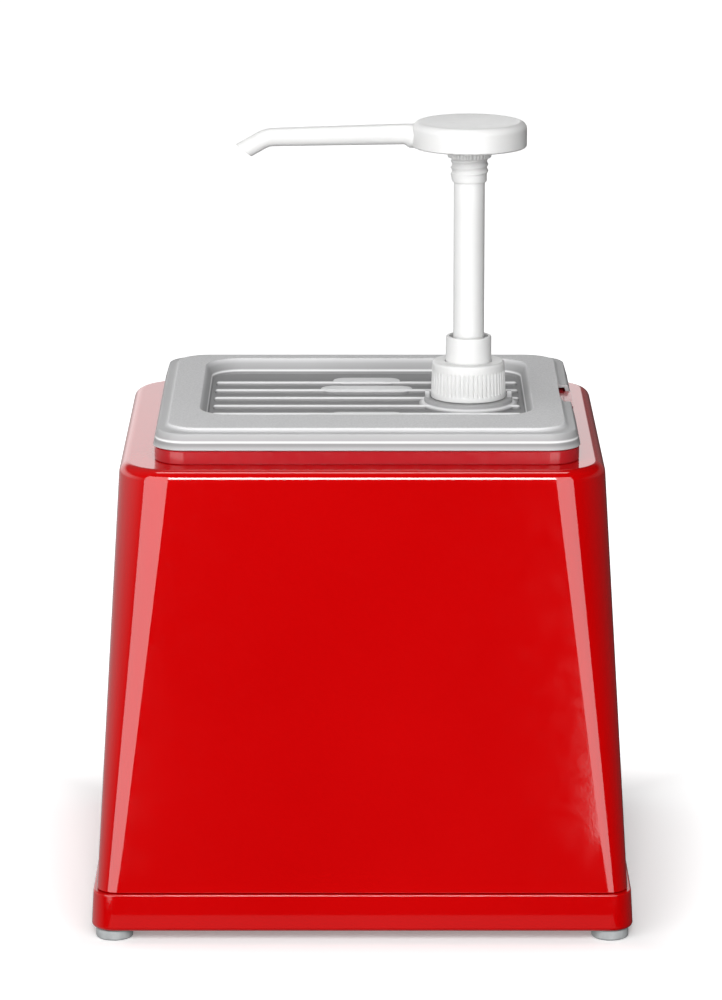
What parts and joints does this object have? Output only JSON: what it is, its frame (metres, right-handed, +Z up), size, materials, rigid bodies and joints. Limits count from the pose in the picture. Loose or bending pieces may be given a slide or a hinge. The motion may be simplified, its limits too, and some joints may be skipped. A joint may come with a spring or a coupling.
{
  "type": "condiment pump dispenser",
  "caption": "Tapered countertop housing holding a lidded food pan, with a screw-on push pump whose long spout reaches over the lid.",
  "frame": {"origin": "on the surface that the feet stand on, below the middle of the housing", "axes": "+Z up, front faces -Y, pump stands towards +X and its spout points to -X"},
  "size_m": [0.226, 0.212, 0.3283],
  "materials": {
    "red_plastic": "smooth high gloss red moulded plastic",
    "pan_plastic": "frosted translucent polypropylene",
    "lid_plastic": "frosted polypropylene with a finely grained raised border",
    "white_plastic": "smooth white polypropylene",
    "seal_plastic": "soft milky polyethylene",
    "foot_rubber": "light grey rubber",
    "screw_steel": "plain steel",
    "spring_steel": "drawn stainless wire",
    "ball_steel": "polished stainless"
  },
  "bodies": {
    "housing": {"housing_shell": "red_plastic", "base_plinth": "red_plastic", "rubber_foot_1": "foot_rubber", "rubber_foot_2": "foot_rubber", "rubber_foot_3": "foot_rubber", "rubber_foot_4": "foot_rubber", "foot_screw_1": "screw_steel", "foot_screw_2": "screw_steel", "foot_screw_3": "screw_steel", "foot_screw_4": "screw_steel"},
    "pan": {"food_pan": "pan_plastic"},
    "lid": {"pan_lid": "lid_plastic"},
    "pump_body": {"pump_cylinder": "white_plastic", "stem_guide": "white_plastic", "stem_wiper": "seal_plastic", "neck_gasket": "seal_plastic", "inlet_cage": "white_plastic", "return_spring": "spring_steel", "dip_tube": "white_plastic"},
    "collar": {"screw_collar": "white_plastic"},
    "plunger": {"piston_seal": "seal_plastic", "spring_washer": "white_plastic"},
    "head": {"pump_head": "white_plastic", "pump_stem": "white_plastic", "ball_retainer": "white_plastic"},
    "inlet_valve": {"inlet_ball": "ball_steel"},
    "outlet_valve": {"outlet_ball": "ball_steel"}
  },
  "joints": [
    {"name": "pan_lift", "type": "slide", "parent": "housing", "child": "pan", "axis": [0, 0, 1], "range_m": [0, 0.15]},
    {"name": "lid_lift", "type": "slide", "parent": "pan", "child": "lid", "axis": [0, 0, 1], "range_m": [0, 0.16]},
    {"name": "collar_turn", "type": "hinge", "parent": "pump_body", "child": "collar", "pos_m": [0.0453, 0, 0.2176], "axis": [0, 0, 1], "range_deg": [0, 540]},
    {"name": "pump_rise", "type": "slide", "parent": "lid", "child": "pump_body", "axis": [0, 0, 1], "range_m": [0, 0.0063]},
    {"name": "pump_stroke", "type": "slide", "parent": "pump_body", "child": "plunger", "axis": [0, 0, -1], "range_m": [0, 0.0665], "stiffness_N_per_m": 200, "springref_m": -0.05, "deforming": ["return_spring"]},
    {"name": "head_swivel", "type": "hinge", "parent": "plunger", "child": "head", "pos_m": [0.0453, 0, 0.3], "axis": [0, 0, 1], "continuous": true},
    {"name": "inlet_ball_lift", "type": "slide", "parent": "pump_body", "child": "inlet_valve", "axis": [0, 0, 1], "range_m": [0, 0.002]},
    {"name": "outlet_ball_lift", "type": "slide", "parent": "head", "child": "outlet_valve", "axis": [0, 0, 1], "range_m": [0, 0.003]}
  ],
  "couplings": [
    {"joint": "collar_turn", "follows": "pump_rise", "rad_per_m": 1496}
  ]
}
